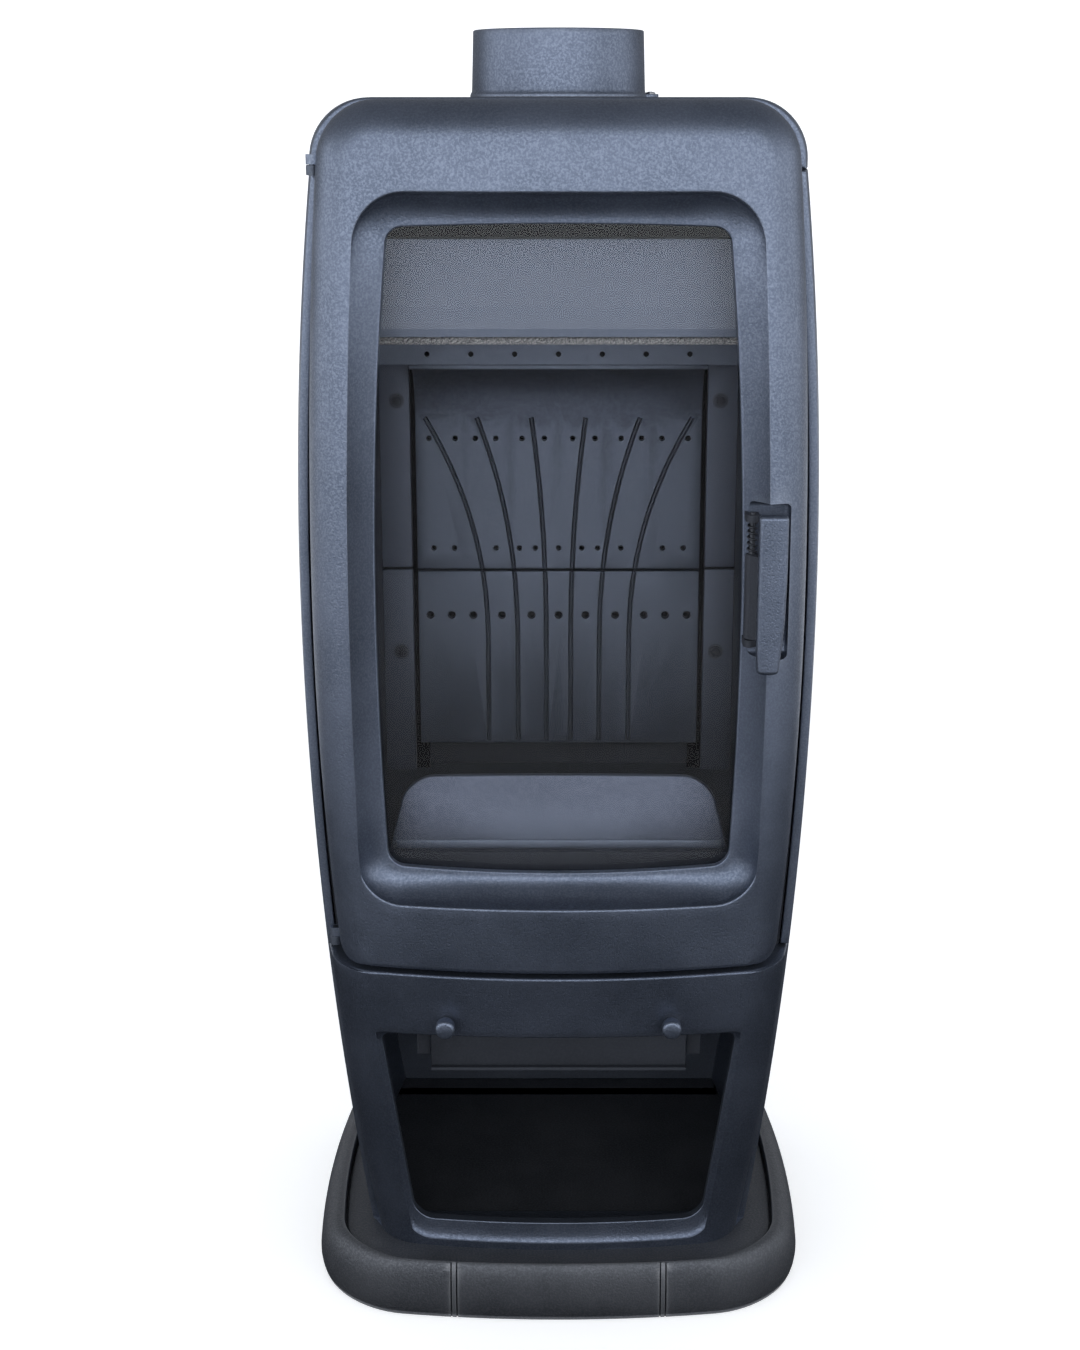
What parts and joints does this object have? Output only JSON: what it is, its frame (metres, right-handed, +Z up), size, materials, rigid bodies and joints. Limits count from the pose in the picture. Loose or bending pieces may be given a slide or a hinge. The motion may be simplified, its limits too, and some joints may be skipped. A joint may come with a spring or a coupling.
{
  "type": "wood stove",
  "caption": "Closed cast-iron wood stove with bowed sides, tall glazed door, fluted firebox, open log niche, round top flue collar and a wide rounded plinth.",
  "frame": {"origin": "on the floor under the middle of the stove, halfway between the handle's front and the rear heat shield's screw heads", "axes": "+X to the viewer's right facing the door, -Y towards the front, +Z up"},
  "size_m": [0.4696, 0.408, 1.131],
  "materials": {
    "casting": "matt blue-grey stove paint over fine cast grain",
    "inner_casting": "matt dark cast surface",
    "black_steel": "matt black stove paint on steel plate",
    "plain_steel": "dull steel",
    "rope": "braided ceramic fibre",
    "glass": "clear heat-proof ceramic glass"
  },
  "bodies": {
    "stove": {"plinth": "casting", "base_plate": "casting", "lower_front": "casting", "pedestal_side_left": "casting", "pedestal_side_right": "casting", "mid_plate": "inner_casting", "side_panel_left": "casting", "side_panel_right": "casting", "top_plate": "casting", "rear_panel": "black_steel", "rear_heat_shield": "black_steel", "shield_spacers": "plain_steel", "shield_screws": "plain_steel", "front_frame": "black_steel", "door_seal": "rope", "firebox_wall_left": "black_steel", "firebox_wall_right": "black_steel", "firebox_back": "black_steel", "firebox_top": "black_steel", "hearth_plate": "inner_casting", "grate": "inner_casting", "side_liner_left": "inner_casting", "side_liner_right": "inner_casting", "back_plate_lower": "inner_casting", "back_plate_upper": "inner_casting", "back_plate_bolts": "plain_steel", "baffle": "inner_casting", "air_wash_plate": "inner_casting", "air_wash_rope": "rope", "log_guard": "inner_casting", "ash_box": "black_steel", "ash_pan_rails": "black_steel", "air_valve_plate": "black_steel", "tie_rods": "plain_steel", "tie_rod_nuts": "plain_steel", "front_screws": "plain_steel", "flue_collar": "casting", "flue_gasket": "rope", "flue_bolts": "plain_steel", "hinge_brackets": "black_steel", "hinge_pins": "plain_steel", "latch_keeper": "plain_steel"},
    "door": {"door_casting": "casting", "door_glass": "glass", "glass_gasket": "rope", "glass_clips": "plain_steel", "glass_screws": "plain_steel", "handle_pin": "plain_steel", "handle_spring": "plain_steel"},
    "handle": {"handle": "casting", "latch_hook": "plain_steel", "latch_hook_screw": "plain_steel"},
    "ash_pan": {"ash_pan": "black_steel"},
    "primary_air": {"primary_air_rod": "plain_steel", "primary_air_knob": "casting"},
    "secondary_air": {"secondary_air_rod": "plain_steel", "secondary_air_knob": "casting"}
  },
  "joints": [
    {"name": "door_hinge", "type": "hinge", "parent": "stove", "child": "door", "pos_m": [-0.1995, -0.131, 0.69], "axis": [0, 0, -1], "range_deg": [0, 90]},
    {"name": "handle_turn", "type": "hinge", "parent": "door", "child": "handle", "pos_m": [0.16, -0.178, 0.68], "axis": [0, 0, -1], "range_deg": [0, 15], "stiffness_Nm_per_rad": 1.2, "springref_deg": -8.59},
    {"name": "ash_pan_slide", "type": "slide", "parent": "stove", "child": "ash_pan", "axis": [0, -1, 0], "range_m": [0, 0.19]},
    {"name": "primary_air_slide", "type": "slide", "parent": "stove", "child": "primary_air", "axis": [0, -1, 0], "range_m": [0, 0.028]},
    {"name": "secondary_air_slide", "type": "slide", "parent": "stove", "child": "secondary_air", "axis": [0, -1, 0], "range_m": [0, 0.028]}
  ]
}
